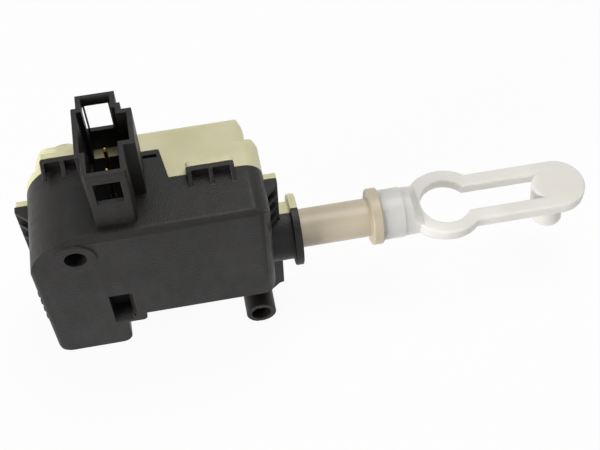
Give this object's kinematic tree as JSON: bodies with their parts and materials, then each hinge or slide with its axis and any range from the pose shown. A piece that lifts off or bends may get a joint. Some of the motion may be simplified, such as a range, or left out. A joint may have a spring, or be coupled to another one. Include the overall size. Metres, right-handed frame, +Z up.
{
  "type": "trunk lock actuator",
  "caption": "Electric lock actuator: two-part housing with a connector socket and screw holes, a sliding push rod and a swivelling slotted link.",
  "frame": {"origin": "on the push rod's axis, in the middle of the nozzle's neck, between the housing's wall flange and the collar", "axes": "+X along the push rod, the way it extends; +Z up, the way the connector socket opens; +Y from the front face with the upper screw hole to the flat back"},
  "size_m": [0.1409, 0.0308, 0.0706],
  "materials": {
    "black_nylon": "fine-grained moulded, satin",
    "natural_nylon": "moulded, slightly translucent",
    "terminal_brass": "stamped",
    "white_acetal": "moulded, satin",
    "seal_rubber": "moulded, matt",
    "bearing_bronze": "sintered",
    "drawn_steel": "zinc plated",
    "ferrite": "ground, dark grey",
    "grey_plastic": "moulded",
    "windings": "enamelled copper on steel laminations",
    "beige_acetal": "moulded, satin",
    "white_nylon": "moulded, slightly translucent"
  },
  "bodies": {
    "housing": {"front_shell": "black_nylon", "connector_socket": "black_nylon", "rear_shell": "natural_nylon", "terminal_carrier": "black_nylon", "front_terminal": "terminal_brass", "rear_terminal": "terminal_brass", "guide_bush": "white_acetal", "rod_seal": "seal_rubber", "front_buffer": "seal_rubber", "rear_buffer": "seal_rubber", "bearing_plate": "white_acetal", "end_bush": "bearing_bronze", "plate_bush": "bearing_bronze", "motor_can": "drawn_steel", "motor_magnets": "ferrite", "motor_end_cap": "grey_plastic", "motor_brushes": "ferrite", "motor_pad": "seal_rubber"},
    "rod": {"push_rod": "beige_acetal", "drive_nut": "beige_acetal"},
    "link": {"link_eye": "white_nylon"},
    "spindle": {"spindle": "drawn_steel", "spindle_gear": "white_acetal", "thrust_washer": "drawn_steel"},
    "rotor": {"motor_shaft": "drawn_steel", "armature": "windings", "commutator": "terminal_brass", "pinion": "terminal_brass"}
  },
  "joints": [
    {"name": "motor_spin", "type": "hinge", "parent": "housing", "child": "rotor", "pos_m": [-0.0477, 0, 0.01375], "axis": [1, 0, 0], "range_deg": [-1182, 0]},
    {"name": "spindle_spin", "type": "hinge", "parent": "housing", "child": "spindle", "pos_m": [-0.0477, 0, 0], "axis": [1, 0, 0], "range_deg": [0, 263]},
    {"name": "rod_slide", "type": "slide", "parent": "housing", "child": "rod", "axis": [1, 0, 0], "range_m": [-0.0175, 0]},
    {"name": "link_swivel", "type": "hinge", "parent": "rod", "child": "link", "pos_m": [0.028, 0, 0], "axis": [1, 0, 0], "continuous": true}
  ],
  "couplings": [
    {"joint": "motor_spin", "follows": "rod_slide", "rad_per_m": 1178.1},
    {"joint": "spindle_spin", "follows": "rod_slide", "rad_per_m": -261.8}
  ]
}
